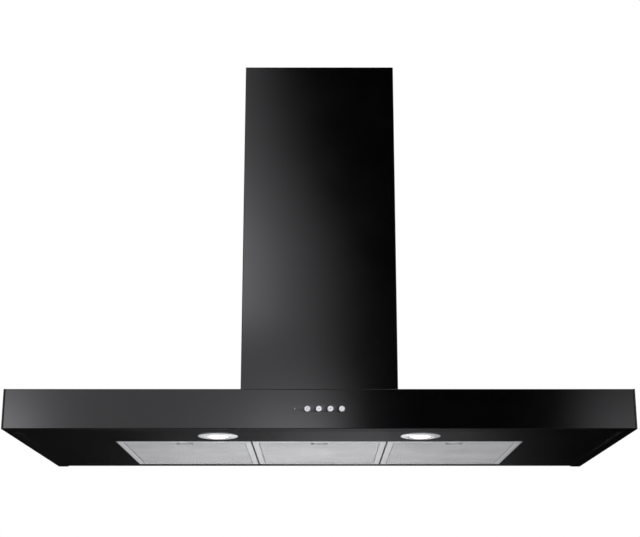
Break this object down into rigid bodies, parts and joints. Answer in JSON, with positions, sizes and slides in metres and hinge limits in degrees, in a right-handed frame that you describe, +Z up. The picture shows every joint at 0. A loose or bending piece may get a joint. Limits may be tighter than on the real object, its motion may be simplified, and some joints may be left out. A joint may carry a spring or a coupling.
{
  "type": "wall range hood",
  "caption": "Black wall-mounted box range hood with a telescopic chimney, tilting grease filters, round lamps, push buttons, a centrifugal blower and a non-return damper.",
  "frame": {"origin": "on the wall face of the mounting plate, on the centre line, at the height of its two keyholes, 250 mm above the canopy's lower rim", "axes": "+Y into the wall, so the controls face -Y; +X to the right as seen from the front, along the canopy's width; +Z up"},
  "size_m": [1.1, 0.5014, 0.7926],
  "materials": {
    "black_enamel": "satin black stove enamel with soft reflections",
    "zinc_steel": "galvanised sheet, dull",
    "motor_steel": "grey painted motor shell",
    "bright_steel": "ground steel",
    "blower_plastic": "moulded grey plastic",
    "black_plastic": "moulded black plastic",
    "grey_plastic": "moulded light grey plastic",
    "circuit_board": "green lacquered board",
    "indicator": "clear light pipe",
    "cable_sheath": "black cable sheath",
    "lamp_chrome": "bright chrome",
    "frosted_glass": "frosted glass, lit from behind",
    "clear_glass": "clear glass capsule",
    "can_aluminium": "spun aluminium",
    "button_silver": "silver painted plastic cap",
    "filter_aluminium": "rolled aluminium channel, fine grain",
    "filter_screen": "layers of fine expanded mesh",
    "latch_grey": "grey moulded plastic"
  },
  "bodies": {
    "hood": {"front_fascia": "black_enamel", "top_panel": "black_enamel", "rear_panel": "black_enamel", "underside_panel": "black_enamel", "side_panel_left": "black_enamel", "side_panel_right": "black_enamel", "chimney_lower": "black_enamel", "motor_box": "zinc_steel", "mounting_plate": "zinc_steel", "motor_body": "motor_steel", "motor_spider": "zinc_steel", "capacitor": "grey_plastic", "outlet_collar": "black_plastic", "damper_pin": "bright_steel", "terminal_box": "black_plastic", "terminal_box_cover": "black_plastic", "cable_gland": "grey_plastic", "lamp_transformer": "black_plastic", "control_housing": "black_plastic", "control_board": "circuit_board", "indicator_lens": "indicator", "motor_lead": "cable_sheath", "chimney_foot_left": "zinc_steel", "chimney_foot_right": "zinc_steel", "scroll_left": "blower_plastic", "scroll_right": "blower_plastic", "lamp_trim_left": "lamp_chrome", "lamp_trim_right": "lamp_chrome", "lamp_glass_left": "frosted_glass", "lamp_glass_right": "frosted_glass", "lamp_can_left": "can_aluminium", "lamp_can_right": "can_aluminium", "lamp_bulb_left": "clear_glass", "lamp_bulb_right": "clear_glass", "lamp_lead_left": "cable_sheath", "lamp_lead_right": "cable_sheath"},
    "chimney_top": {"chimney_upper": "black_enamel", "chimney_bracket": "zinc_steel", "bracket_screw_left": "zinc_steel", "bracket_screw_right": "zinc_steel"},
    "fan": {"impeller": "blower_plastic", "motor_shaft": "bright_steel"},
    "damper_left": {"damper_flap_left": "black_plastic"},
    "damper_right": {"damper_flap_right": "black_plastic"},
    "button_off": {"button_off": "button_silver"},
    "button_minus": {"button_minus": "button_silver"},
    "button_plus": {"button_plus": "button_silver"},
    "button_lamp": {"button_lamp": "button_silver"},
    "filter_left": {"filter_frame_left": "filter_aluminium", "filter_mesh_left": "filter_screen", "latch_tray_left": "filter_aluminium"},
    "latch_left": {"filter_latch_left": "latch_grey"},
    "filter_centre": {"filter_frame_centre": "filter_aluminium", "filter_mesh_centre": "filter_screen", "latch_tray_centre": "filter_aluminium"},
    "latch_centre": {"filter_latch_centre": "latch_grey"},
    "filter_right": {"filter_frame_right": "filter_aluminium", "filter_mesh_right": "filter_screen", "latch_tray_right": "filter_aluminium"},
    "latch_right": {"filter_latch_right": "latch_grey"}
  },
  "joints": [
    {"name": "chimney_slide", "type": "slide", "parent": "hood", "child": "chimney_top", "axis": [0, 0, 1], "range_m": [0, 0.3]},
    {"name": "fan_spin", "type": "hinge", "parent": "hood", "child": "fan", "pos_m": [0, -0.12175, -0.07], "axis": [1, 0, 0], "continuous": true},
    {"name": "damper_left_swing", "type": "hinge", "parent": "hood", "child": "damper_left", "pos_m": [0, -0.12175, 0.12355], "axis": [0, 1, 0], "range_deg": [0, 75]},
    {"name": "damper_right_swing", "type": "hinge", "parent": "hood", "child": "damper_right", "pos_m": [0, -0.12175, 0.12355], "axis": [0, -1, 0], "range_deg": [0, 75]},
    {"name": "button_off_push", "type": "slide", "parent": "hood", "child": "button_off", "axis": [0, 1, 0], "range_m": [0, 0.0015], "stiffness_N_per_m": 400},
    {"name": "button_minus_push", "type": "slide", "parent": "hood", "child": "button_minus", "axis": [0, 1, 0], "range_m": [0, 0.0015], "stiffness_N_per_m": 400},
    {"name": "button_plus_push", "type": "slide", "parent": "hood", "child": "button_plus", "axis": [0, 1, 0], "range_m": [0, 0.0015], "stiffness_N_per_m": 400},
    {"name": "button_lamp_push", "type": "slide", "parent": "hood", "child": "button_lamp", "axis": [0, 1, 0], "range_m": [0, 0.0015], "stiffness_N_per_m": 400},
    {"name": "filter_left_tilt", "type": "hinge", "parent": "hood", "child": "filter_left", "pos_m": [-0.251, -0.031, -0.2469], "axis": [1, 0, 0], "range_deg": [0, 75]},
    {"name": "latch_left_slide", "type": "slide", "parent": "filter_left", "child": "latch_left", "axis": [0, -1, 0], "range_m": [0, 0.005]},
    {"name": "filter_centre_tilt", "type": "hinge", "parent": "hood", "child": "filter_centre", "pos_m": [0, -0.031, -0.2469], "axis": [1, 0, 0], "range_deg": [0, 75]},
    {"name": "latch_centre_slide", "type": "slide", "parent": "filter_centre", "child": "latch_centre", "axis": [0, -1, 0], "range_m": [0, 0.005]},
    {"name": "filter_right_tilt", "type": "hinge", "parent": "hood", "child": "filter_right", "pos_m": [0.251, -0.031, -0.2469], "axis": [1, 0, 0], "range_deg": [0, 75]},
    {"name": "latch_right_slide", "type": "slide", "parent": "filter_right", "child": "latch_right", "axis": [0, -1, 0], "range_m": [0, 0.005]}
  ]
}
